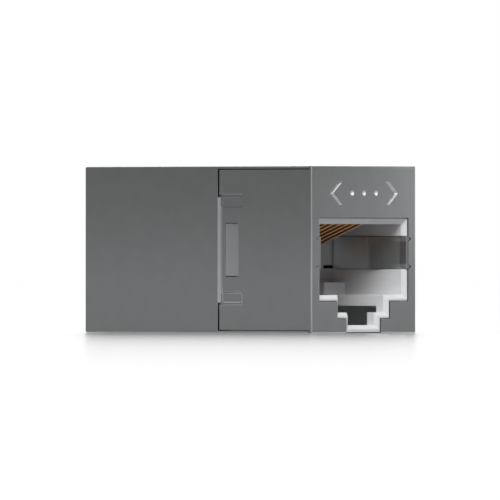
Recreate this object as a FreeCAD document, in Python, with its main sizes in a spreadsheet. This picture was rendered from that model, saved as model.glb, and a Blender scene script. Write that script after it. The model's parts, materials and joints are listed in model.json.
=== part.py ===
import FreeCAD, Part
import math
import os
import re
import Sketcher

# Inline coupler for two eight-way modular plugs, standing on its floor.
# X runs from the rear port to the front port, Z is up, and the origin is under the middle of the floor.

# Driving sizes in millimetres, except the one angle, which is in degrees.
SIZES = {
    # Plug cavity and the stepped slot for the plug's latch
    "plug_width": 11.7,
    "plug_height": 6.8,
    "latch_width": 6.5,
    "latch_drop": 1.68,
    "tab_width": 3.9,
    "tab_drop": 1.22,
    "tab_rise": 0.23,
    "stop_depth": 7.8,
    "stop_width": 3.0,
    "stop_height": 1.2,
    # Port mouth
    "lead_in": 0.38,
    "tab_lead_in": 0.24,
    "top_land": 0.03,
    "side_land": 0.1,
    "level_land": 0.2,
    "mouth_setback": 0.12,
    "rim_gap": 0.05,
    "notch_height": 0.53,
    "notch_depth": 0.43,
    "notch_sink": 0.5,
    # Die-cast shells
    "side_wall": 0.8,
    "roof_wall": 0.8,
    "floor_wall": 0.55,
    "end_wall": 0.9,
    "flange": 0.3,
    "lap_lip": 0.22,
    "lap_gap": 0.12,
    "seam_gap": 0.18,
    "edge_round": 0.2,
    "roof_rib": 0.6,
    "fit_gap": 0.1,
    # Snap joint between the shells
    "snap_length": 2.75,
    "snap_height": 10.1,
    "tongue_metal": 0.5,
    "tongue_root": 2.0,
    "bevel": 0.36,
    "rebate": 0.6,
    "rebate_depth": 0.04,
    "finger_height": 0.9,
    "finger_gap": 0.28,
    "finger_sink": 0.05,
    "groove_sink": 0.22,
    "groove_gap": 0.03,
    "slot_gap": 0.06,
    "slot_run_out": 0.45,
    "slot_round": 0.2,
    "window_setback": 1.0,
    "window_length": 1.68,
    "window_height": 5.2,
    "lug_gap": 0.09,
    "catch_gap": 0.03,
    "lug_sink": 0.03,
    "lug_toe": 0.3,
    # Jack frames
    "jack_depth": 9.4,
    "between_jacks": 10.95,
    "frame_wall": 0.7,
    "frame_front": 0.4,
    "frame_floor": 1.08,
    # Ground springs in the side windows of the jack frames
    "spring_rise": 2.46,
    "spring_window": 3.2,
    "spring_window_back": 0.2,
    "spring_gap": 0.05,
    "spring_metal": 0.3,
    "spring_land": 0.9,
    "spring_crown_depth": 4.4,
    "spring_crown": 0.3,
    "spring_bend_depth": 7.2,
    "spring_bend": 0.08,
    "spring_toe": 0.1,
    "ear_gap": 0.07,
    # Contacts
    "contact_pitch": 1.016,
    "contact_width": 0.46,
    "contact_metal": 0.3,
    "arm_slope": 20.0,
    "arm_entry": 3.9,
    "nose_setback": 2.4,
    "nose_radius": 0.6,
    "pin_bend": 0.3,
    "pin_setback": 5.5,
    "pin_row": 2.0,
    "pin_stub": 0.6,
    "tip_reach": 0.6,
    # Contact carriers
    "comb_wall": 0.95,
    "comb_slot_drop": 0.6,
    "comb_slot_gap": 0.07,
    "side_slot_rise": 2.55,
    "side_slot_height": 0.3,
    "side_slot_length": 1.4,
    "nose_gap": 0.05,
    "rib_overrun": 1.0,
    # Circuit board
    "board_thickness": 1.0,
    "board_setback": 3.7,
    "pin_hole": 0.75,
    "head_room": 1.186,
}
CONTACT_COUNT = 8

# Places worked out from the sizes: distances from the origin along X, Y or Z.
PLACES = {
    "half_length": "jack_depth + between_jacks / 2",
    "seam": "half_length - jack_depth - fit_gap - snap_length",
    "wall_back": "half_length - end_wall",
    "frame_nose": "wall_back - fit_gap",
    "jack_back": "half_length - jack_depth",
    "plug_half": "plug_width / 2",
    "latch_half": "latch_width / 2",
    "tab_half": "tab_width / 2",
    "frame_half": "plug_half + frame_wall",
    "shell_inside": "frame_half + fit_gap",
    "half_width": "shell_inside + side_wall",
    "rim_across": "lead_in + side_land",
    "rim_up": "lead_in + level_land",
    "mouth_half": "plug_half + rim_across + rim_gap",
    "tongue_outside": "shell_inside - fit_gap",
    "tongue_inside": "tongue_outside - tongue_metal",
    "comb_half": "tongue_inside - fit_gap",
    "tab_floor": "floor_wall + tab_rise",
    "tab_top": "tab_floor + tab_drop",
    "plug_floor": "tab_top + latch_drop",
    "plug_top": "plug_floor + plug_height",
    "spring_low": "plug_floor + spring_rise",
    "spring_high": "spring_low + spring_window",
    "arm_entry_x": "half_length - arm_entry",
    "nose_x": "half_length - nose_setback",
    "arm_start_x": "nose_x + nose_radius * sin(arm_slope)",
    "arm_start_z": "plug_top + tan(arm_slope) * (arm_start_x - arm_entry_x)",
    "tip_x": "jack_back - tip_reach",
    "tip_z": "plug_top - tan(arm_slope) * (arm_entry_x - tip_x)",
    "nose_z": "arm_start_z + nose_radius * cos(arm_slope)",
    "nose_inner": "nose_radius - contact_metal / 2",
    "run_z": "nose_z + nose_radius",
    "block_low": "nose_z - nose_inner",
    "block_top": "nose_z + nose_inner",
    "board_low": "run_z + contact_metal / 2 + fit_gap / 2",
    "board_top": "board_low + board_thickness",
    "pin_top": "board_top + pin_stub",
    "roof_inside": "pin_top + head_room",
    "overall_height": "roof_inside + roof_wall",
    "middle_height": "overall_height / 2",
    "slot_end": "seam + snap_length + slot_run_out",
    "snap_low": "middle_height - snap_height / 2",
    "snap_high": "middle_height + snap_height / 2",
}

doc = FreeCAD.newDocument("InlineCoupler")
sheet = doc.addObject("Spreadsheet::Sheet", "Sizes")
for row, (alias, size) in enumerate(SIZES.items(), start=1):
    cell = f"A{row}"
    sheet.set(cell, str(size))
    sheet.setAlias(cell, alias)
doc.recompute()


def formula(text):
    """A formula in sizes and places as an expression on the spreadsheet's cells."""
    def cell_or_place(match):
        word = match.group()
        if word in SIZES:
            return "Sizes." + word
        if word in PLACES:
            return "(" + formula(PLACES[word]) + ")"
        return word
    return re.sub(r"[a-z_]+", cell_or_place, text)


def origin_feature(body, role):
    """One of a body's own origin planes or axes."""
    return next(item for item in body.Origin.OriginFeatures if item.Role == role)


def new_body(label):
    """An empty sub-part."""
    body = doc.addObject("PartDesign::Body", label)
    body.Label = label
    return body


def new_sketch(body, name, plane, level):
    """An empty sketch parallel to an origin plane, at a level along that plane's normal."""
    sketch = body.newObject("Sketcher::SketchObject", name)
    sketch.AttachmentSupport = [(origin_feature(body, plane), "")]
    sketch.MapMode = "FlatFace"
    sketch.setExpression("AttachmentOffset.Base.z", formula(level))
    return sketch


def pin_point(sketch, geometry, position, place):
    """Tie one point of a sketch to a place given by two formulas."""
    for direction, distance in zip(("DistanceX", "DistanceY"), place):
        constraint = Sketcher.Constraint(direction, -1, 1, geometry, position, 1.0)
        index = sketch.addConstraint(constraint)
        sketch.setExpression(f"Constraints[{index}]", formula(distance))


def loose_point(index, count):
    """A starting position on a circle, before the constraints move the point to its place."""
    angle = 2 * math.pi * index / count
    return FreeCAD.Vector(math.cos(angle), math.sin(angle), 0)


def add_outline(sketch, corners):
    """A closed outline through corners given as pairs of formulas."""
    first = sketch.GeometryCount
    count = len(corners)
    for index in range(count):
        line = Part.LineSegment(loose_point(index, count), loose_point(index + 1, count))
        sketch.addGeometry(line)
    for index, place in enumerate(corners):
        following = first + (index + 1) % count
        sketch.addConstraint(Sketcher.Constraint("Coincident", first + index, 2, following, 1))
        pin_point(sketch, first + index, 1, place)


def draw(body, name, plane, level, *outlines):
    """A sketch of one or more closed outlines."""
    sketch = new_sketch(body, name, plane, level)
    for corners in outlines:
        add_outline(sketch, corners)
    return sketch


def rectangle(left, right, low, high):
    """The corners of a rectangle."""
    return [(left, low), (right, low), (right, high), (left, high)]


def mirrored_outline(corners):
    """The same outline on the other side of the sketch's upright axis."""
    return [(f"-({across})", up) for across, up in corners]


def extrude(body, kind, name, sketch, length, side="One side", backwards=False):
    """A pad or pocket of a sketch."""
    feature = body.newObject("PartDesign::" + kind, name)
    feature.Profile = sketch
    feature.SideType = side
    feature.Reversed = backwards
    feature.setExpression("Length", formula(length))
    return feature


def pad(body, name, sketch, length, side="One side", backwards=False):
    """Material along the sketch's normal, or evenly to both sides of it."""
    return extrude(body, "Pad", name, sketch, length, side, backwards)


def pocket(body, name, sketch, length, side="One side", backwards=False):
    """A cut against the sketch's normal, or evenly to both sides of it."""
    return extrude(body, "Pocket", name, sketch, length, side, backwards)


def row_along_y(body, name, feature, copies):
    """Copies of a feature at the contacts' pitch."""
    pattern = body.newObject("PartDesign::LinearPattern", name)
    pattern.Originals = [feature]
    pattern.Direction = (origin_feature(body, "Y_Axis"), [""])
    pattern.Mode = "Spacing"
    pattern.Occurrences = copies
    pattern.setExpression("Offset", formula("contact_pitch"))
    body.Tip = pattern
    return pattern


def round_edges(body, name, base, chosen, radius):
    """A fillet on the chosen edges of a feature."""
    doc.recompute()
    names = [f"Edge{index}" for index, edge in enumerate(base.Shape.Edges, start=1) if chosen(edge)]
    fillet = body.newObject("PartDesign::Fillet", name)
    fillet.Base = (base, names)
    fillet.setExpression("Radius", formula(radius))
    return fillet


def near(value, target):
    """Whether two coordinates are the same place."""
    return abs(value - target) < 1e-4


def along(edge, axis):
    """Whether an edge is straight and parallel to an axis."""
    box = edge.BoundBox
    spans = {"X": box.XLength, "Y": box.YLength, "Z": box.ZLength}
    return all(near(span, 0) for name, span in spans.items() if name != axis)


def on_box_edge(edge, box):
    """Whether an edge lies on one of the side edges of a box that run along X."""
    middle = edge.CenterOfMass
    beside = near(abs(middle.y), box.YMax)
    above_or_below = near(middle.z, box.ZMin) or near(middle.z, box.ZMax)
    return along(edge, "X") and beside and above_or_below


def on_end_border(edge, box, end):
    """Whether an edge lies on the border of a box's end face."""
    middle = edge.CenterOfMass
    upright = along(edge, "Z") and near(abs(middle.y), box.YMax)
    level = along(edge, "Y") and (near(middle.z, box.ZMin) or near(middle.z, box.ZMax))
    return near(middle.x, end) and (upright or level)


# The stepped outline of the port, wide above and narrowing in two steps for the plug's latch. It is grown
# by a distance across and up; its top and its lowest step can grow by others.
def port_outline(across, up, bottom, top=None, beside_tab=None):
    top = top or up
    beside_tab = beside_tab or across
    right = [
        (f"plug_half + {across}", f"plug_top + {top}"),
        (f"plug_half + {across}", f"plug_floor - ({up})"),
        (f"latch_half + {across}", f"plug_floor - ({up})"),
        (f"latch_half + {across}", f"tab_top - ({up})"),
        (f"tab_half + {beside_tab}", f"tab_top - ({up})"),
        (f"tab_half + {beside_tab}", bottom),
    ]
    left = mirrored_outline(reversed(right))
    return right + left


# The small notches beside the mouth, in line with the edges of the ground springs.
def mouth_notches():
    inner = "mouth_half - rim_gap"
    tip = "mouth_half + notch_depth"
    notches = []
    for low in ("spring_low", "spring_high - notch_height"):
        notch = [(inner, low), (tip, f"{low} + notch_height / 2"), (inner, f"{low} + notch_height")]
        notches += [notch, mirrored_outline(notch)]
    return notches


# The port opening through an end wall, open at the bottom under the latch slot.
def cut_mouth(body, face, backwards):
    opening = draw(body, "MouthOutline", "YZ_Plane", face,
                   port_outline("rim_across + rim_gap", "rim_up + rim_gap", "-fit_gap"))
    pocket(body, "Mouth", opening, "end_wall + 2 * fit_gap", backwards=backwards)
    notches = draw(body, "NotchOutlines", "YZ_Plane", face, *mouth_notches())
    return pocket(body, "MouthNotches", notches, "notch_sink", backwards=backwards)


# Whether an edge runs across a slot of the clip at its end, or a gap short of it.
def at_slot_end(edge, gap):
    slot_end = sheet.between_jacks / 2 - sheet.fit_gap + sheet.slot_run_out
    return along(edge, "Y") and near(edge.CenterOfMass.x, slot_end - gap)


# Front shell: an end wall with a thin full-height flange, and two cheeks that reach back to the seam.
def make_front_shell():
    body = new_body("front_shell")
    face = draw(body, "FlangeOutline", "YZ_Plane", "half_length - flange",
                rectangle("-half_width", "half_width", "0", "overall_height"))
    pad(body, "Flange", face, "flange")

    cheek_back = "seam + seam_gap"
    cheek_front = "half_length - flange"
    plan = [
        (cheek_back, "-half_width"), (cheek_front, "-half_width"),
        (cheek_front, "half_width"), (cheek_back, "half_width"),
        (cheek_back, "shell_inside"), ("wall_back", "shell_inside"),
        ("wall_back", "-shell_inside"), (cheek_back, "-shell_inside"),
    ]
    cheeks = draw(body, "CheekPlan", "XY_Plane", "lap_lip + lap_gap", plan)
    pad(body, "Cheeks", cheeks, "overall_height - 2 * (lap_lip + lap_gap)")

    steps = draw(body, "TongueSteps", "YZ_Plane", "half_length - flange",
                 rectangle("-shell_inside", "shell_inside", "roof_inside - lap_gap", "overall_height"),
                 rectangle("-shell_inside", "shell_inside", "0", "floor_wall + lap_gap"))
    pocket(body, "TongueRoom", steps, "end_wall")
    cut_mouth(body, "half_length", backwards=False)

    strip = rectangle("seam", "seam + rebate", "half_width - rebate_depth", "half_width + fit_gap")
    other_strip = [(along_x, f"-({across})") for along_x, across in strip]
    rim = draw(body, "SeamRebatePlan", "XY_Plane", "overall_height", strip, other_strip)
    pocket(body, "SeamRebates", rim, "overall_height")

    slot_edge = "seam + rebate"
    high_out = "snap_high + finger_gap"
    high_in = "snap_high - finger_height - slot_gap"
    low_in = "snap_low + finger_height + slot_gap"
    low_out = "snap_low - finger_gap"
    slots = [
        ("seam", high_out), ("slot_end", high_out), ("slot_end", high_in), (slot_edge, high_in),
        (slot_edge, low_in), ("slot_end", low_in), ("slot_end", low_out), ("seam", low_out),
    ]
    window = rectangle("seam + window_setback", "seam + window_setback + window_length",
                       "middle_height - window_height / 2", "middle_height + window_height / 2")
    clip = draw(body, "ClipOpenings", "XZ_Plane", "0", slots, window)
    openings = pocket(body, "ClipCuts", clip, "2 * half_width + side_wall", side="Symmetric")

    rounded = round_edges(body, "SlotEnds", openings, lambda edge: at_slot_end(edge, 0), "slot_round")
    doc.recompute()
    box = rounded.Shape.BoundBox
    round_edges(body, "FaceEdges", rounded,
                lambda edge: on_end_border(edge, box, box.XMax), "edge_round")
    return body


# Roof and floor tongues of the rear shell: a core between the cheeks and a thin lip over their edges.
def tongue_outline(face, lip, core):
    half = [("half_width", face), ("half_width", lip), ("tongue_outside", lip), ("tongue_outside", core)]
    return half + mirrored_outline(reversed(half))


# The clip's two fingers, each with so much of the gap beside it.
def finger_rows(left, right, beside):
    return (rectangle(left, right, "snap_high - finger_height", f"snap_high + {beside}"),
            rectangle(left, right, f"snap_low - ({beside})", "snap_low + finger_height"))


# One side's snap tongue: a bevelled root, two fingers and a ramped lug on a plate behind the cheek.
def add_snap_tongue(body):
    plate = [
        ("seam - tongue_root", "tongue_inside"), ("seam + snap_length", "tongue_inside"),
        ("seam + snap_length", "tongue_outside"), ("seam + bevel", "tongue_outside"),
        ("seam + bevel", "half_width - bevel"), ("seam", "half_width"),
        ("seam", "shell_inside"), ("seam - tongue_root", "shell_inside"),
    ]
    plan = draw(body, "SnapPlan", "XY_Plane", "snap_low", plate)
    tongue = pad(body, "SnapTongue", plan, "snap_height")

    root = "seam + rebate"
    tip = "slot_end - slot_gap"
    groove = "finger_gap - groove_gap"
    arm_rows = finger_rows("seam", "seam + snap_length", groove)
    arms = pad(body, "Arms", draw(body, "ArmOutlines", "XZ_Plane", "-(tongue_inside)", *arm_rows),
               "half_width - groove_sink - tongue_inside", backwards=True)
    groove_rows = finger_rows(root, tip, groove)
    grooves = pad(body, "Grooves", draw(body, "GrooveOutlines", "XZ_Plane", "-(shell_inside)", *groove_rows),
                  "half_width - groove_sink - shell_inside", backwards=True)
    rows = finger_rows(root, tip, "0")
    fingers = pad(body, "Fingers", draw(body, "FingerOutlines", "XZ_Plane", "-(shell_inside)", *rows),
                  "half_width - finger_sink - shell_inside", backwards=True)

    catch = "seam + window_setback + catch_gap"
    toe = "seam + window_setback + window_length - lug_gap"
    ramp = [
        (catch, "tongue_outside"), (toe, "tongue_outside"),
        (toe, "tongue_outside + lug_toe"), (catch, "half_width - lug_sink"),
    ]
    ramp_plan = draw(body, "LugPlan", "XY_Plane", "middle_height - window_height / 2 + lug_gap", ramp)
    lug = pad(body, "Lug", ramp_plan, "window_height - 2 * lug_gap")

    mirror = body.newObject("PartDesign::Mirrored", "OtherSide")
    mirror.Originals = [tongue, arms, grooves, fingers, lug]
    mirror.MirrorPlane = (origin_feature(body, "XZ_Plane"), [""])
    body.Tip = mirror
    return round_edges(body, "FingerEnds", mirror,
                       lambda edge: at_slot_end(edge, sheet.slot_gap), "slot_round")


# Rear shell: a sleeve with its own port, and two tongues that run forward over and under the cheeks.
def make_rear_shell():
    body = new_body("rear_shell")
    outside = draw(body, "SleeveOutline", "YZ_Plane", "-half_length",
                   rectangle("-half_width", "half_width", "0", "overall_height"))
    pad(body, "Sleeve", outside, "half_length + seam")
    inside = draw(body, "HollowOutline", "YZ_Plane", "seam",
                  rectangle("-shell_inside", "shell_inside", "floor_wall", "roof_inside"))
    pocket(body, "Hollow", inside, "half_length + seam - end_wall")

    tongues = draw(body, "TongueOutlines", "YZ_Plane", "seam",
                   tongue_outline("overall_height", "overall_height - lap_lip", "roof_inside"),
                   tongue_outline("0", "lap_lip", "floor_wall"))
    pad(body, "Tongues", tongues, "half_length - flange - lap_gap - seam")
    rim_half = "tab_half + rim_across + rim_gap + fit_gap"
    notch = draw(body, "RimNotchPlan", "XY_Plane", "floor_wall + fit_gap",
                 rectangle("frame_nose - fit_gap", "half_length", f"-({rim_half})", rim_half))
    pocket(body, "RimNotch", notch, "floor_wall + 2 * fit_gap")

    rib_outside = "comb_half - roof_rib"
    rib_inside = f"{rib_outside} - roof_rib"
    rib = rectangle(rib_inside, rib_outside, "board_top + fit_gap / 2", "roof_inside")
    rib_end = "board_setback - half_length"
    ribs = draw(body, "RoofRibOutlines", "YZ_Plane", rib_end, rib, mirrored_outline(rib))
    pad(body, "RoofRibs", ribs, f"-2 * ({rib_end})")

    cut_mouth(body, "-half_length", backwards=True)
    sides = add_snap_tongue(body)
    doc.recompute()
    box = sides.Shape.BoundBox
    round_edges(body, "OuterEdges", sides,
                lambda edge: on_box_edge(edge, box) or on_end_border(edge, box, box.XMin), "edge_round")
    return body


# Jack frame: the moulded cavity of one port, with stops for the plug's nose in its lower back corners
# and side windows that take the ground springs from the front.
def make_jack_frame(end):
    body = new_body(f"{end}_jack_frame")
    front = draw(body, "FrontOutline", "YZ_Plane", "frame_nose - frame_front",
                 rectangle("-frame_half", "frame_half", "floor_wall", "block_low"))
    pad(body, "FrontPlate", front, "frame_front")
    half = [
        ("frame_half", "floor_wall"), ("frame_half", "block_low"), ("plug_half", "block_low"),
        ("plug_half", "plug_floor"), ("latch_half", "plug_floor"), ("latch_half", "plug_floor - frame_floor"),
        ("plug_half", "plug_floor - frame_floor"), ("plug_half", "floor_wall"),
    ]
    walls = draw(body, "WallOutlines", "YZ_Plane", "jack_back", half, mirrored_outline(half))
    pad(body, "Walls", walls, "frame_nose - frame_front - jack_back")
    rim = draw(body, "RimOutline", "YZ_Plane", "frame_nose", port_outline("rim_across", "rim_up", "fit_gap"))
    pad(body, "Rim", rim, "half_length - mouth_setback - frame_nose")

    rim_face = "half_length - mouth_setback"
    cavity = draw(body, "CavityOutline", "YZ_Plane", rim_face, port_outline("0", "0", "tab_floor"))
    pocket(body, "Cavity", cavity, "end_wall + fit_gap + frame_front - mouth_setback")
    wide = draw(body, "FunnelFace", "YZ_Plane", rim_face,
                port_outline("lead_in", "lead_in", "tab_floor - lead_in",
                             top="rim_up - top_land", beside_tab="tab_lead_in"))
    narrow = draw(body, "FunnelThroat", "YZ_Plane", f"{rim_face} - lead_in",
                  port_outline("0", "0", "tab_floor"))
    lead_in = body.newObject("PartDesign::SubtractiveLoft", "LeadIn")
    lead_in.Profile = wide
    lead_in.Sections = [narrow]
    lead_in.Ruled = True

    stop = rectangle("plug_half - stop_width", "plug_half", "plug_floor", "plug_floor + stop_height")
    stops = draw(body, "StopOutlines", "YZ_Plane", "jack_back", stop, mirrored_outline(stop))
    pad(body, "PlugStops", stops, "jack_depth - stop_depth")
    windows = draw(body, "SpringWindow", "XZ_Plane", "0",
                   rectangle("jack_back + spring_window_back", "half_length", "spring_low", "spring_high"))
    pocket(body, "SpringWindows", windows, "2 * half_width", side="Symmetric")
    return body


# Ground spring: a formed leaf that bows into the plug cavity. Two ears at its front lie in the notches
# beside the mouth, and a leg at its back meets the inside of the shell.
def make_ground_spring(end, side, sign):
    body = new_body(f"{end}_{side}_ground_spring")
    front = "half_length - spring_gap"
    rear = "jack_back + spring_window_back + spring_gap"
    face = [
        (front, "mouth_half - spring_metal"),
        ("half_length - spring_land", "mouth_half - spring_metal"),
        ("half_length - spring_crown_depth", "plug_half - spring_crown"),
        ("half_length - spring_bend_depth", "plug_half - spring_bend"),
    ]
    leg = [
        (rear, "plug_half - spring_toe"), (rear, "shell_inside"),
        (f"{rear} + spring_metal", "shell_inside"),
        (f"{rear} + spring_metal", "plug_half - spring_toe + spring_metal"),
    ]
    back = [(along_x, f"{across} + spring_metal") for along_x, across in reversed(face)]
    plan = [(along_x, f"{sign}({across})") for along_x, across in face + leg + back]
    leaf = draw(body, "LeafPlan", "XY_Plane", "spring_low + spring_gap", plan)
    pad(body, "Leaf", leaf, "spring_window - 2 * spring_gap")

    ears = []
    for low in ("spring_low", "spring_high - notch_height"):
        bottom = f"{low} + ear_gap"
        top = f"{low} + notch_height - ear_gap"
        ear = [
            ("mouth_half - spring_metal", bottom), ("mouth_half", bottom),
            ("mouth_half + notch_depth - 2 * ear_gap", f"{low} + notch_height / 2"),
            ("mouth_half", top), ("mouth_half - spring_metal", top),
        ]
        ears.append([(f"{sign}({across})", up) for across, up in ear])
    tabs = draw(body, "EarOutlines", "YZ_Plane", front, *ears)
    pad(body, "Ears", tabs, "notch_sink - 2 * spring_gap", backwards=True)
    return body


# Contact carrier: a block under the contacts' runs, rounded where they bend, on a comb wall behind the port.
def make_contact_carrier(end):
    body = new_body(f"{end}_contact_carrier")
    block = draw(body, "BlockOutline", "XZ_Plane", "0",
                 rectangle("jack_back", "nose_x + nose_inner - nose_gap", "block_low", "block_top"))
    slab = pad(body, "Block", block, "2 * (frame_half - fit_gap)", side="Symmetric")
    doc.recompute()
    nose_face = slab.Shape.BoundBox.XMax

    def on_nose(edge):
        return along(edge, "Y") and near(edge.CenterOfMass.x, nose_face)
    round_edges(body, "Nose", slab, on_nose, "nose_inner - nose_gap")
    wall = draw(body, "CombOutline", "XZ_Plane", "0",
                rectangle("jack_back - comb_wall", "jack_back", "floor_wall", "block_top"))
    pad(body, "CombWall", wall, "2 * comb_half", side="Symmetric")

    outer_rib = CONTACT_COUNT / 2
    rib_back = "half_length - pin_setback - pin_row - rib_overrun"
    rib = draw(body, "RibOutline", "XZ_Plane", f"{outer_rib} * contact_pitch",
               rectangle(rib_back, "nose_x", "block_top", "board_low"))
    first_rib = pad(body, "Rib", rib, "contact_pitch - contact_width - 2 * comb_slot_gap", side="Symmetric")
    row_along_y(body, "Ribs", first_rib, CONTACT_COUNT + 1)

    outer_contact = (CONTACT_COUNT - 1) / 2
    slot = draw(body, "SlotOutline", "XZ_Plane", f"{outer_contact} * contact_pitch",
                rectangle("jack_back - comb_wall - fit_gap", "jack_back + fit_gap",
                          "tip_z - comb_slot_drop", "block_low"))
    first_slot = pocket(body, "Slot", slot, "contact_width + 2 * comb_slot_gap", side="Symmetric")
    row_along_y(body, "Slots", first_slot, CONTACT_COUNT)

    side_low = "plug_floor + side_slot_rise"
    side = rectangle("comb_half - side_slot_length", "comb_half + fit_gap",
                     side_low, f"{side_low} + side_slot_height")
    sides = draw(body, "SideSlotOutlines", "YZ_Plane", "jack_back", side, mirrored_outline(side))
    pocket(body, "SideSlots", sides, "comb_wall")
    return body


# Where a contact's solder pin stands: odd ones in the row nearer the port, even ones in the row behind.
def pin_place(number):
    return "half_length - pin_setback" if number % 2 else "half_length - pin_setback - pin_row"


# How far a contact lies from the middle, counted in pitches.
def contact_offset(number):
    return number - (CONTACT_COUNT + 1) / 2


def bend_between(sketch, before, after, turns_left):
    """Join two straight runs of a path by an arc that leaves the first one in line with it."""
    doc.recompute()
    start = sketch.Geometry[before].EndPoint
    end = sketch.Geometry[after].StartPoint
    heading = (start - sketch.Geometry[before].StartPoint).normalize()
    inward = FreeCAD.Vector(-heading.y, heading.x, 0) * (1 if turns_left else -1)
    chord = end - start
    radius = chord.dot(chord) / (2 * chord.dot(inward))
    centre = start + inward * radius
    angles = [math.atan2(point.y - centre.y, point.x - centre.x) for point in (start, end)]
    circle = Part.Circle(centre, FreeCAD.Vector(0, 0, 1), radius)
    first, last = angles if turns_left else reversed(angles)
    arc = sketch.addGeometry(Part.ArcOfCircle(circle, first, last))
    near_end, far_end = (1, 2) if turns_left else (2, 1)
    sketch.addConstraint(Sketcher.Constraint("Tangent", before, 2, arc, near_end))
    sketch.addConstraint(Sketcher.Constraint("Coincident", arc, far_end, after, 1))


# Contact: a flat strip from its solder pin, forward over the block, round the nose and back into the cavity.
def make_contact(end, number):
    body = new_body(f"{end}_contact_{number}")
    pin_x = pin_place(number)
    offset = f"{contact_offset(number)} * contact_pitch"
    runs = [
        ((pin_x, "pin_top"), (pin_x, "run_z + pin_bend")),
        ((f"{pin_x} + pin_bend", "run_z"), ("nose_x", "run_z")),
        (("arm_start_x", "arm_start_z"), ("tip_x", "tip_z")),
    ]
    path = new_sketch(body, "Path", "XZ_Plane", f"-({offset})")
    for index, (start, finish) in enumerate(runs):
        path.addGeometry(Part.LineSegment(loose_point(index, len(runs)), loose_point(index + 1, len(runs))))
        pin_point(path, index, 1, start)
        pin_point(path, index, 2, finish)
    bend_between(path, 0, 1, turns_left=True)
    bend_between(path, 1, 2, turns_left=False)

    half_metal = "contact_metal / 2"
    half_strip = "contact_width / 2"
    section = draw(body, "Section", "XY_Plane", "pin_top",
                   rectangle(f"{pin_x} - {half_metal}", f"{pin_x} + {half_metal}",
                             f"{offset} - {half_strip}", f"{offset} + {half_strip}"))
    doc.recompute()
    strip = body.newObject("PartDesign::AdditivePipe", "Strip")
    strip.Profile = section
    strip.Spine = path
    return body


# Circuit board: lies on the carriers' ribs, with a hole for each solder pin.
def make_circuit_board():
    body = new_body("circuit_board")
    board_end = "half_length - board_setback"
    outline = draw(body, "BoardOutline", "XY_Plane", "board_low",
                   rectangle(f"-({board_end})", board_end, "-comb_half", "comb_half"))
    pad(body, "Board", outline, "board_thickness")
    holes = new_sketch(body, "PinHoles", "XY_Plane", "board_top")
    for number in range(1, CONTACT_COUNT + 1):
        for sign in ("", "-"):
            circle = holes.addGeometry(Part.Circle(FreeCAD.Vector(), FreeCAD.Vector(0, 0, 1), 1.0))
            offset = f"{sign}({contact_offset(number)}) * contact_pitch"
            pin_point(holes, circle, 3, (f"{sign}({pin_place(number)})", offset))
            width = holes.addConstraint(Sketcher.Constraint("Diameter", circle, 1.0))
            holes.setExpression(f"Constraints[{width}]", formula("pin_hole"))
    pocket(body, "Holes", holes, "board_thickness")
    return body


half_turn = FreeCAD.Rotation(FreeCAD.Vector(0, 0, 1), 180)
end_placements = {
    "front": FreeCAD.Placement(),
    "rear": FreeCAD.Placement(FreeCAD.Vector(), half_turn),
}

parts = [make_front_shell(), make_rear_shell(), make_circuit_board()]
for end, placement in end_placements.items():
    port = [make_jack_frame(end), make_contact_carrier(end)]
    port += [make_ground_spring(end, "left", "-"), make_ground_spring(end, "right", "")]
    port += [make_contact(end, number) for number in range(1, CONTACT_COUNT + 1)]
    for piece in port:
        piece.Placement = placement
    parts += port
doc.recompute()

for item in doc.Objects:
    if "Invalid" in item.State or "Error" in item.State:
        raise RuntimeError(f"{item.Label} failed: {item.State}")
for piece in parts:
    if piece.Shape.isNull() or not piece.Shape.isValid() or len(piece.Shape.Solids) != 1:
        raise RuntimeError(f"{piece.Label} is not one sound solid")

os.makedirs("parts", exist_ok=True)
for piece in parts:
    piece.Shape.exportStep(os.path.join("parts", piece.Label + ".step"))
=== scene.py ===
import json
import math

import bmesh
import bpy
from mathutils import Matrix, Vector


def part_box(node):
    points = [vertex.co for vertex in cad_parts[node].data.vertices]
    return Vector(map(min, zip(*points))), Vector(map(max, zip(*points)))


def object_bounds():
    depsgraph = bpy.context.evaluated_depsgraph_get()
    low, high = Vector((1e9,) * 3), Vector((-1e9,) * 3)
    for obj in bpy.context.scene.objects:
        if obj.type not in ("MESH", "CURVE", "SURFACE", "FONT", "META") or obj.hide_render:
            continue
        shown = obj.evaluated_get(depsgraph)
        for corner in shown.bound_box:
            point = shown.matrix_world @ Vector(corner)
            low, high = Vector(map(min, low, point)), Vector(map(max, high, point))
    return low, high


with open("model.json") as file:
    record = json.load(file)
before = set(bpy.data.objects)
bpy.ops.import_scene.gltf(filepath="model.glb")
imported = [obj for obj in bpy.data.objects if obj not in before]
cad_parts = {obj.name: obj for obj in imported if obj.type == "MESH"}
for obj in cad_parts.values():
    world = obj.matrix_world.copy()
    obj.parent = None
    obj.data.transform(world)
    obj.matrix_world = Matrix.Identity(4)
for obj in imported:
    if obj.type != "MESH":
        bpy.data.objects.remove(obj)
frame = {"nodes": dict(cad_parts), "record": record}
cad_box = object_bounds()


# Places on the part, in millimetres along it from the middle and up from the floor

MM = 0.001
half_length = cad_box[1][0] / MM
overall_height = cad_box[1][2] / MM
middle_height = overall_height / 2
seam, end_face = (corner[0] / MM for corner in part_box("front_shell"))
spring_low, spring_high = (corner[2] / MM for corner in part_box("front_left_ground_spring"))
spring_height = (spring_low + spring_high) / 2


# Nodes of the finishes

# A Mix node uses the same socket names for numbers, vectors and colours, so its colours go by number.
MIX_COLOURS = (6, 7)
MIX_RESULT = 2


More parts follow.
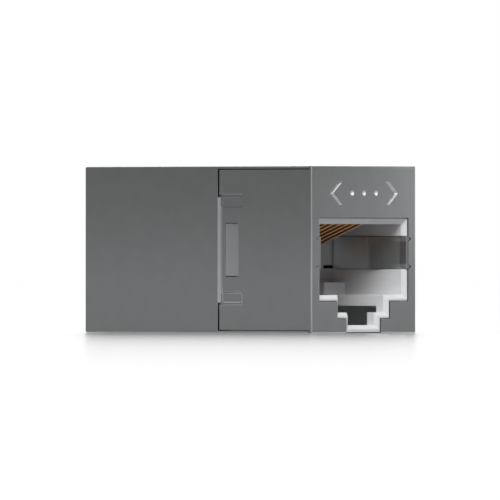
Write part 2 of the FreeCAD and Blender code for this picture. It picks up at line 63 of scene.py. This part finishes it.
class Signal:
    """One output of a finish's nodes, for use in expressions."""

    def __init__(self, finish, socket):
        self.finish = finish
        self.socket = socket

    def maths(self, operation, *values):
        return self.finish.node("ShaderNodeMath", {"operation": operation}, dict(enumerate(values)))

    def __add__(self, other):
        return self.maths("ADD", self, other)

    def __sub__(self, other):
        return self.maths("SUBTRACT", self, other)

    def __rsub__(self, other):
        return self.maths("SUBTRACT", other, self)

    def __mul__(self, other):
        return self.maths("MULTIPLY", self, other)

    def __pow__(self, other):
        return self.maths("POWER", self, other)

    __radd__ = __add__
    __rmul__ = __mul__

    def at_least(self, other):
        return self.maths("MAXIMUM", self, other)

    def away(self, place):
        """How far the value lies from a place, on either side."""
        offset = self - place
        return offset.maths("ABSOLUTE", offset)

    def between(self, low, high):
        """0 below low, 1 above high, and a smooth step in between."""
        sockets = {"Value": self, "From Min": low, "From Max": high}
        return self.finish.node("ShaderNodeMapRange", {"interpolation_type": "SMOOTHSTEP"}, sockets)

    def near(self, place, inner, outer):
        """1 within an inner distance of a place, 0 beyond an outer one, and a smooth step in between."""
        return 1.0 - self.away(place).between(inner, outer)


class Finish:
    """The nodes of a material or of the world."""

    def __init__(self, owner):
        owner.use_nodes = True
        self.owner = owner
        self.tree = owner.node_tree
        self.tree.nodes.clear()

    def node(self, kind, settings=None, sockets=None, output=0):
        """A new node with its settings, then its sockets' values or links; one output comes back."""
        made = self.tree.nodes.new(kind)
        for name, value in (settings or {}).items():
            setattr(made, name, value)
        for name, value in (sockets or {}).items():
            if isinstance(value, Signal):
                self.tree.links.new(value.socket, made.inputs[name])
            else:
                made.inputs[name].default_value = value
        return Signal(self, made.outputs[output]) if made.outputs else None

    def place(self, stretch=(1.0, 1.0, 1.0)):
        """Where a point lies on the part, in millimetres, times a stretch for each direction."""
        there = self.node("ShaderNodeTexCoord", output="Object")
        scale = tuple(part / MM for part in stretch)
        return self.node("ShaderNodeVectorMath", {"operation": "MULTIPLY"}, {0: there, 1: scale})

    def along(self):
        """How far a point lies from the middle towards either end, in millimetres."""
        return self.node("ShaderNodeSeparateXYZ", None, {0: self.place()}, output="X").away(0.0)

    def height(self):
        """How far a point lies above the floor, in millimetres."""
        return self.node("ShaderNodeSeparateXYZ", None, {0: self.place()}, output="Z")

    def facing(self, axis):
        """How far the surface faces along an axis, from -1 to 1."""
        normal = self.node("ShaderNodeNewGeometry", output="Normal")
        return self.node("ShaderNodeSeparateXYZ", None, {0: normal}, output=axis)

    def ray(self, kind):
        """1 for rays of a kind and 0 for others."""
        return self.node("ShaderNodeLightPath", output=kind)

    def noise(self, place, per_mm, detail=2.0, roughness=0.5):
        """Soft noise around 0.5 with so many grains a millimetre."""
        sockets = {"Vector": place, "Scale": per_mm, "Detail": detail, "Roughness": roughness}
        return self.node("ShaderNodeTexNoise", {"noise_dimensions": "3D"}, sockets)

    def blend(self, share, first, second):
        """A colour between two others."""
        sockets = {0: share}
        for socket, colour in zip(MIX_COLOURS, (first, second)):
            sockets[socket] = (*colour, 1.0) if isinstance(colour, tuple) else colour
        return self.node("ShaderNodeMix", {"data_type": "RGBA"}, sockets, output=MIX_RESULT)

    def patches(self, noise, darker, lighter):
        """Two close colours in soft patches."""
        return self.blend(noise.between(0.3, 0.7), darker, lighter)

    def mix(self, share, first, second):
        """A shader between two others."""
        return self.node("ShaderNodeMixShader", None, {0: share, 1: first, 2: second})

    def rounded(self, radius_mm):
        """A surface normal that turns gradually at edges."""
        return self.node("ShaderNodeBevel", {"samples": 6}, {"Radius": radius_mm * MM})

    def edges(self, radius_mm, low, high):
        """1 near sharp edges and 0 on flats."""
        flat = self.node("ShaderNodeNewGeometry", output="Normal")
        same = self.node("ShaderNodeVectorMath", {"operation": "DOT_PRODUCT"},
                         {0: self.rounded(radius_mm), 1: flat}, output="Value")
        return (1.0 - same).between(low, high)

    def bump(self, height, depth_mm, over=None):
        """A surface normal from a height between 0 and 1, over another normal if there is one."""
        sockets = {"Height": height, "Distance": depth_mm * MM}
        if over:
            sockets["Normal"] = over
        return self.node("ShaderNodeBump", None, sockets)

    def surface(self, **sockets):
        """The main shader and the output."""
        names = {name.replace("_", " "): value for name, value in sockets.items()}
        shader = self.node("ShaderNodeBsdfPrincipled", None, names)
        self.node("ShaderNodeOutputMaterial", None, {"Surface": shader})
        return self.owner


def new_finish(name):
    return Finish(bpy.data.materials.new(name))


# Shells

NICKEL_GREYS = ((0.093, 0.097, 0.098), (0.099, 0.103, 0.104))
# Painted light on the shell: a lighter grey painted as highlights on edges, most of all at the clip, and on
# slanted faces, and as a painted reflection of the floor underneath.
HIGHLIGHT_NICKEL = (0.36, 0.365, 0.37)
EDGE_HIGHLIGHT = 0.45
CLIP_EDGE_HIGHLIGHT = 0.6
UNDERSIDE_REFLECTION = 0.55
LOWER_END_REFLECTION = 0.9
SLANT_HIGHLIGHT = 0.30
CLIP_LENGTH = 3.2
CLIP_REACH = (1.7, 2.0)
FINGER_BELOW_MIDDLE = 4.72
FINGER_REACH = (0.9, 1.1)
RIM_ABOVE_MIDDLE = 5.72
RIM_REACH = (0.4, 0.5)


def at_clip(finish):
    """1 at the clip's lower finger and at the rim of the opening over its upper one, where the painted edge
    highlight is strongest.
    """
    low_finger = finish.height().near(middle_height - FINGER_BELOW_MIDDLE, *FINGER_REACH)
    upper_rim = finish.height().near(middle_height + RIM_ABOVE_MIDDLE, *RIM_REACH)
    beside_seam = finish.along().near(seam + CLIP_LENGTH / 2, *CLIP_REACH)
    return low_finger.at_least(upper_rim) * beside_seam


def shell_painted_light(finish):
    """How much painted highlight the shell gets: at edges, most of all at the clip, and on slanted faces;
    and a painted reflection of the floor underneath, most on the ends.
    """
    sharp = finish.edges(radius_mm=0.1, low=0.02, high=0.2)
    underneath = (finish.facing("Z") * -1.0).between(0.1, 0.5)
    at_ends = finish.facing("X") ** 2.0
    # A face at 45 degrees counts as half an end, and as slanted in full.
    slanted = at_ends * (1.0 - at_ends) * 4.0
    # Painted highlight along sharp edges, stronger at the clip; painted reflection of the floor on faces
    # turned down.
    highlight_share = sharp * (EDGE_HIGHLIGHT + CLIP_EDGE_HIGHLIGHT * at_clip(finish))
    highlight_share = highlight_share.at_least(underneath * (UNDERSIDE_REFLECTION + LOWER_END_REFLECTION * at_ends))
    return highlight_share.at_least(slanted * SLANT_HIGHLIGHT)


def shell_finish():
    """Satin grey nickel on die-cast zinc, with a fine cast grain, faint mottling, and painted highlights
    and floor reflections in a lighter grey.
    """
    finish = new_finish("shell_satin_nickel")
    grain = finish.noise(finish.place(), per_mm=9.0, detail=3.0)
    mottle = finish.noise(finish.place(), per_mm=0.55, detail=3.0, roughness=0.6)
    highlight_share = shell_painted_light(finish)
    # The lighter grey here is painted highlight and painted floor reflection.
    colour = finish.blend(highlight_share, finish.patches(mottle, *NICKEL_GREYS), HIGHLIGHT_NICKEL)
    roughness = 0.40 + 0.06 * mottle + 0.05 * grain - 0.08 * highlight_share
    return finish.surface(Base_Color=colour, Metallic=1.0, Roughness=roughness,
                          Normal=finish.bump(grain, depth_mm=0.004))


# Jack frames

FRAME_PALES = ((0.735, 0.745, 0.755), (0.785, 0.795, 0.805))
# Painted shade: a duller colour painted on the frame's walls deep in the plug cavity.
FRAME_PAINTED_SHADE = (0.61, 0.62, 0.645)
CAVITY_DEPTH = 7.9
LATCH_SLOT_TOP = 4.2
LATCH_SLOT_FADE = 0.8


def frame_finish():
    """Pale moulded plastic with a faint flow pattern and a fine grain, with painted shade deep in the plug
    cavity, left off in the latch slot.
    """
    finish = new_finish("frame_pale_plastic")
    flow = finish.noise(finish.place((0.3, 1.0, 1.0)), per_mm=0.8, detail=3.0)
    grain = finish.noise(finish.place(), per_mm=14.0)
    towards_mouth = finish.along().between(half_length - CAVITY_DEPTH, half_length)
    in_latch_slot = (LATCH_SLOT_TOP - finish.height()).between(0.0, LATCH_SLOT_FADE)
    # Painted shade deep in the cavity, left off near the mouth and in the latch slot.
    unshaded = towards_mouth.at_least(in_latch_slot)
    colour = finish.blend(unshaded, FRAME_PAINTED_SHADE, finish.patches(flow, *FRAME_PALES))
    return finish.surface(Base_Color=colour, Roughness=0.42 + 0.12 * grain, Specular_IOR_Level=0.25,
                          Normal=finish.bump(grain, depth_mm=0.003, over=finish.rounded(0.15)))


# Contact carriers

CARRIER_GREYS = ((0.35, 0.35, 0.355), (0.40, 0.40, 0.405))


def carrier_finish():
    """Grey glass-filled plastic: matte, with short fibres that show faintly."""
    finish = new_finish("carrier_grey_plastic")
    fibres = finish.noise(finish.place((0.4, 2.0, 2.0)), per_mm=6.0, detail=3.0)
    grain = finish.noise(finish.place(), per_mm=18.0)
    colour = finish.blend(fibres.between(0.35, 0.7), *CARRIER_GREYS)
    return finish.surface(Base_Color=colour, Roughness=0.50 + 0.15 * grain,
                          Normal=finish.bump(grain, depth_mm=0.004))


# Ground springs

ROLLED_STEELS = ((0.47, 0.495, 0.515), (0.51, 0.535, 0.555))
# Painted light on the springs: a near-white painted highlight behind the crown and on the rims at the
# mouth, and a dark painted shade on the cut ends.
STEEL_PAINTED_SHEEN = (0.88, 0.93, 0.97)
CUT_END_PAINTED_SHADE = (0.18, 0.18, 0.185)
CROWN_DEPTH = 4.4
CROWN_FADE = 0.3
RIM_FROM_MIDDLE = 1.0
RIM_FADE = 0.2
RIM_DEPTHS = (2.1, 0.3)


def spring_finish():
    """Rolled strip with fine lines along it, a painted highlight behind the crown and on the rims at the
    mouth, and painted shade on the cut ends.
    """
    finish = new_finish("spring_rolled_steel")
    lines = finish.noise(finish.place((0.15, 8.0, 8.0)), per_mm=3.0, detail=3.0)
    tint = finish.noise(finish.place(), per_mm=0.7)
    crown = half_length - CROWN_DEPTH
    behind_crown = 1.0 - finish.along().between(crown - CROWN_FADE, crown + CROWN_FADE)
    rims = finish.height().away(spring_height).between(RIM_FROM_MIDDLE, RIM_FROM_MIDDLE + RIM_FADE)
    rims_at_mouth = rims * finish.along().between(*(half_length - depth for depth in RIM_DEPTHS))
    # Painted highlight behind the crown and on the rims at the mouth.
    painted_sheen = behind_crown.at_least(rims_at_mouth)
    # Painted shade on the cut ends, which face along the part.
    cut = (finish.facing("X") ** 2.0).between(0.5, 0.9)
    strip = finish.blend(painted_sheen, finish.patches(tint, *ROLLED_STEELS), STEEL_PAINTED_SHEEN)
    colour = finish.blend(cut, strip, CUT_END_PAINTED_SHADE)
    return finish.surface(Base_Color=colour, Metallic=1.0, Roughness=0.34 + 0.14 * lines + 0.1 * cut,
                          Normal=finish.bump(lines, depth_mm=0.002))


# Contacts

GILT_DEPTHS = ((0.82, 0.45, 0.20), (0.90, 0.57, 0.30))
# The sheared sides face the neighbouring contacts: bare bronze, darkened further as painted shade between
# the contacts.
SHEARED_BRONZE_AND_SHADE = (0.36, 0.18, 0.08)


def contact_finish():
    """Gold flash over bronze in patches of two depths, lines along the strip, and sheared sides of bare
    bronze darkened further as painted shade between the contacts.
    """
    finish = new_finish("contact_gilt_bronze")
    lines = finish.noise(finish.place((0.2, 10.0, 10.0)), per_mm=3.0)
    tint = finish.noise(finish.place(), per_mm=1.1, detail=3.0)
    # Darker sides: bare bronze and painted shade between the contacts.
    sheared_and_shaded = (finish.facing("Y") ** 2.0).between(0.3, 0.7)
    colour = finish.blend(sheared_and_shaded, finish.patches(tint, *GILT_DEPTHS), SHEARED_BRONZE_AND_SHADE)
    return finish.surface(Base_Color=colour, Metallic=1.0, Roughness=0.60 + 0.14 * lines,
                          Normal=finish.bump(lines, depth_mm=0.002))


# Circuit board

RESIST_GREENS = ((0.016, 0.075, 0.035), (0.022, 0.10, 0.045))


def board_finish():
    """Green solder resist over woven glass, with the weave faintly raised."""
    finish = new_finish("board_green_resist")
    threads = {"Vector": finish.place(), "Scale": 1.2, "Distortion": 0.4, "Detail": 1.0}
    warp = finish.node("ShaderNodeTexWave", {"bands_direction": "X"}, threads, output="Fac")
    weft = finish.node("ShaderNodeTexWave", {"bands_direction": "Y"}, threads, output="Fac")
    weave = warp * 0.5 + weft * 0.5
    tint = finish.noise(finish.place(), per_mm=0.4)
    return finish.surface(Base_Color=finish.patches(tint, *RESIST_GREENS), Roughness=0.30 + 0.10 * weave,
                          Normal=finish.bump(weave, depth_mm=0.01))


finishes = {
    "shell_metal": shell_finish(),
    "frame_plastic": frame_finish(),
    "carrier_plastic": carrier_finish(),
    "spring_metal": spring_finish(),
    "contact_metal": contact_finish(),
    "board_laminate": board_finish(),
}
for row in frame["record"]["subparts"]:
    for mesh_slot in frame["nodes"][row["node"]].material_slots:
        mesh_slot.material = finishes[row["material_slot"]]


# Mark: a plain network sign, two arrowheads with three dots between them, engraved over the front port

MARK_BELOW_ROOF = 2.6
MARK_DEPTH = 0.24
ARROW_REACH = 4.6
ARROW_RUN = 1.25
ARROW_RISE = 1.1
GROOVE_WIDTH = 0.48
DOT_RADIUS = 0.27
DOT_SPACING = 1.7
DOT_SIDES = 24
CUT_METALS = ((0.40, 0.41, 0.41), (0.46, 0.47, 0.47))
mark_height = overall_height - MARK_BELOW_ROOF


def mark_finish():
    """Bright metal that the engraver's cutter left, with fine cutting lines."""
    finish = new_finish("mark_bright_cut")
    lines = finish.noise(finish.place((1.0, 0.3, 1.0)), per_mm=9.0)
    tint = finish.noise(finish.place(), per_mm=1.5)
    return finish.surface(Base_Color=finish.patches(tint, *CUT_METALS), Metallic=1.0,
                          Roughness=0.30 + 0.12 * lines, Normal=finish.bump(lines, depth_mm=0.003))


def arrow_line(shapes, side, depth, outwards):
    """Three corners along an arrowhead, so deep in the face and moved outwards."""
    tail = ARROW_REACH - ARROW_RUN
    line = []
    for across, up in ((tail, ARROW_RISE), (ARROW_REACH, 0), (tail, -ARROW_RISE)):
        corner = Vector((end_face - depth, side * (across + outwards), mark_height + up))
        line.append(shapes.verts.new(corner * MM))
    return line


def add_arrowhead(shapes, side):
    """A wedge along an arrowhead, half in the face and half out of it."""
    bottom = arrow_line(shapes, side, MARK_DEPTH, 0)
    outer = arrow_line(shapes, side, -MARK_DEPTH, GROOVE_WIDTH)
    inner = arrow_line(shapes, side, -MARK_DEPTH, -GROOVE_WIDTH)
    for left, right in ((outer, bottom), (bottom, inner), (inner, outer)):
        for step in (0, 1):
            shapes.faces.new([left[step], left[step + 1], right[step + 1], right[step]])
    for end in (0, -1):
        shapes.faces.new([outer[end], inner[end], bottom[end]])


def add_dot(shapes, across):
    """A cone with its tip inwards, half in the face and half out of it."""
    where = Matrix.Translation(Vector((end_face, across, mark_height)) * MM)
    inwards = Matrix.Rotation(math.radians(-90), 4, "Y")
    bmesh.ops.create_cone(shapes, cap_ends=True, segments=DOT_SIDES, radius1=2 * DOT_RADIUS * MM,
                          radius2=0, depth=2 * MARK_DEPTH * MM, matrix=where @ inwards)


def mark_cutter():
    """The shape that is cut away, which leaves grooves and dimples with sloping walls."""
    shapes = bmesh.new()
    for side in (-1, 1):
        add_arrowhead(shapes, side)
    for across in (-DOT_SPACING, 0, DOT_SPACING):
        add_dot(shapes, across)
    bmesh.ops.recalc_face_normals(shapes, faces=shapes.faces)
    mesh = bpy.data.meshes.new("mark_cutter")
    mesh.materials.append(mark_finish())
    shapes.to_mesh(mesh)
    shapes.free()
    cutter = bpy.data.objects.new("mark_cutter", mesh)
    cutter.hide_render = True
    cutter.hide_viewport = True
    bpy.context.scene.collection.objects.link(cutter)
    return cutter


def engrave(node, cutter):
    cut = node.modifiers.new("engraved_mark", "BOOLEAN")
    cut.operation = "DIFFERENCE"
    cut.solver = "EXACT"
    cut.material_mode = "TRANSFER"
    cut.object = cutter


# Edges: sharp edges are broken by a few hundredths of a millimetre, on the frames in shading only

EDGE_WIDTHS = {
    "shell_metal": 0.04,
    "carrier_plastic": 0.05,
    "spring_metal": 0.03,
    "contact_metal": 0.05,
    "board_laminate": 0.05,
}
JOIN_DISTANCE = 0.001
FLAT_ANGLE = math.radians(0.5)
SHARP_ANGLE = math.radians(35)
EDGE_STEPS = 3


def join_faces(node):
    weld = node.modifiers.new("joined_faces", "WELD")
    weld.merge_threshold = JOIN_DISTANCE * MM


def soften_edges(node, width_mm):
    flats = node.modifiers.new("whole_flats", "DECIMATE")
    flats.decimate_type = "DISSOLVE"
    flats.angle_limit = FLAT_ANGLE
    edge = node.modifiers.new("broken_edges", "BEVEL")
    edge.limit_method = "ANGLE"
    edge.angle_limit = SHARP_ANGLE
    edge.width = width_mm * MM
    edge.segments = EDGE_STEPS
    edge.harden_normals = True


for row in frame["record"]["subparts"]:
    node = frame["nodes"][row["node"]]
    if row["material_slot"] in EDGE_WIDTHS:
        join_faces(node)
        if row["node"] == "front_shell":
            engrave(node, mark_cutter())
        soften_edges(node, EDGE_WIDTHS[row["material_slot"]])


# Floor and background

FLOOR_SIZE = 60000
FLOOR_DROP = 0.02
FLOOR_GLOSS_ROUGHNESS = 0.205
FLOOR_GLOSS_POWER = 2.5
FLOOR_PALE = 0.85
FLOOR_DIM = 0.40
WHITE_IN_METAL = 0.9
WHITE_ON_CAMERA = 0.06
FILL_TINT = (0.95, 0.97, 1.0, 1.0)
FILL_STRENGTH = 0.15


def grey(level):
    """A neutral colour; a level of 1 is white."""
    return (level, level, level, 1.0)


def floor_finish():
    """White table top: matt from above, a blurred mirror at low angles, dim where only the part sees it."""
    finish = new_finish("floor_white")
    low_angle = finish.node("ShaderNodeLayerWeight", None, {"Blend": 0.5}, output="Facing")
    mirror = finish.node("ShaderNodeBsdfGlossy", {"distribution": "MULTI_GGX"},
                         {"Color": grey(1.0), "Roughness": FLOOR_GLOSS_ROUGHNESS})
    pale = finish.node("ShaderNodeBsdfDiffuse", None, {"Color": grey(FLOOR_PALE)})
    dim = finish.node("ShaderNodeBsdfDiffuse", None, {"Color": grey(FLOOR_DIM)})
    white = finish.node("ShaderNodeEmission", None, {"Color": grey(1.0), "Strength": 1.0})
    on_camera = finish.ray("Is Camera Ray")
    polished = finish.mix(low_angle ** FLOOR_GLOSS_POWER, pale, mirror)
    table = finish.mix(on_camera, dim, polished)
    whiter = (finish.ray("Is Glossy Ray") * WHITE_IN_METAL).at_least(on_camera * WHITE_ON_CAMERA)
    finish.node("ShaderNodeOutputMaterial", None, {"Surface": finish.mix(whiter, table, white)})
    return finish.owner


def lay_floor():
    half = FLOOR_SIZE * MM / 2
    corners = [(-half, -half, 0), (half, -half, 0), (half, half, 0), (-half, half, 0)]
    mesh = bpy.data.meshes.new("floor")
    mesh.from_pydata(corners, [], [(0, 1, 2, 3)])
    mesh.materials.append(floor_finish())
    floor = bpy.data.objects.new("floor", mesh)
    floor.location.z = -FLOOR_DROP * MM
    bpy.context.scene.collection.objects.link(floor)
    return floor


def light_world():
    """White where it is seen, in metal and glass too, and a faint fill for the rest."""
    world = bpy.data.worlds.new("studio")
    bpy.context.scene.world = world
    sky = Finish(world)
    seen = sky.ray("Is Camera Ray")
    for kind in ("Is Glossy Ray", "Is Transmission Ray"):
        seen = seen.at_least(sky.ray(kind))
    white = sky.node("ShaderNodeBackground", None, {"Color": grey(1.0), "Strength": 1.0})
    fill = sky.node("ShaderNodeBackground", None, {"Color": FILL_TINT, "Strength": FILL_STRENGTH})
    sky.node("ShaderNodeOutputWorld", None, {"Surface": sky.mix(seen, fill, white)})


floor = lay_floor()
light_world()


# Lamps

def lamp_group(name, nodes):
    """Nodes that a lamp is kept to."""
    made = bpy.data.collections.new(name)
    for node in nodes:
        made.objects.link(frame["nodes"][node])
    return made


def around(azimuth, elevation, distance, aim):
    """The point at a distance from another, in a direction given as for the camera."""
    turn, tilt = math.radians(azimuth), math.radians(elevation)
    towards = Vector((math.sin(turn) * math.cos(tilt), -math.cos(turn) * math.cos(tilt), math.sin(tilt)))
    return Vector(aim) + towards * distance


def softbox(name, centre, aim, size, brightness, only=None, card=False):
    """A rectangular lamp facing a point, both in millimetres; a brightness of 1 is white.

    It may be kept to a group of nodes. A card shows in metal and lights nothing else.
    """
    width, height = (side * MM for side in size)
    lamp = bpy.data.lights.new(name, "AREA")
    lamp.shape = "RECTANGLE"
    lamp.size, lamp.size_y = width, height
    lamp.energy = brightness * math.pi * width * height
    stand = bpy.data.objects.new(name, lamp)
    stand.location = Vector(centre) * MM
    facing = Vector(centre) - Vector(aim)
    stand.rotation_euler = facing.to_track_quat("Z", "Y").to_euler()
    stand.visible_camera = False
    stand.visible_diffuse = not card
    if only:
        stand.light_linking.receiver_collection = only
    bpy.context.scene.collection.objects.link(stand)


AIM_HEIGHT = 8
middle = (0, 0, AIM_HEIGHT)
whole_part = lamp_group("whole_part", frame["nodes"])
shells = lamp_group("shells", ("front_shell", "rear_shell"))
softbox("key_high_front", around(azimuth=45, elevation=47, distance=1320, aim=middle), aim=middle,
        size=(770, 770), brightness=9.1)
softbox("fill_high_back", around(azimuth=228, elevation=42, distance=600, aim=middle), aim=middle,
        size=(350, 350), brightness=4.5, only=whole_part)
softbox("card_low_left", (-25, -34.5, 3), aim=(-25, 0, 3), size=(200, 5), brightness=3.1,
        only=shells, card=True)
softbox("card_low_right", (49, 37, 4), aim=(0, 37, 4), size=(150, 7), brightness=3.2,
        only=shells, card=True)
softbox("card_right_back", (22.2, 26.5, 15.5), aim=(14.9, 9, 10), size=(14, 14), brightness=3.9,
        only=shells, card=True)


# Camera

CAMERA_AZIMUTH = math.radians(42.6)
CAMERA_DISTANCE = 1900
CAMERA_LENS = 1417
CAMERA_SENSOR = 36
CAMERA_SIGHT = 100000
camera_data = bpy.data.cameras.new("camera")
camera_data.sensor_width = CAMERA_SENSOR
camera_data.lens = CAMERA_LENS
camera_data.clip_end = CAMERA_SIGHT * MM
camera = bpy.data.objects.new("camera", camera_data)
view_from = Vector((math.sin(CAMERA_AZIMUTH), -math.cos(CAMERA_AZIMUTH), 0))
camera.location = (Vector(middle) + view_from * CAMERA_DISTANCE) * MM
camera.rotation_euler = view_from.to_track_quat("Z", "Y").to_euler()
bpy.context.scene.collection.objects.link(camera)
bpy.context.scene.camera = camera
bpy.context.scene.view_settings.view_transform = "Standard"
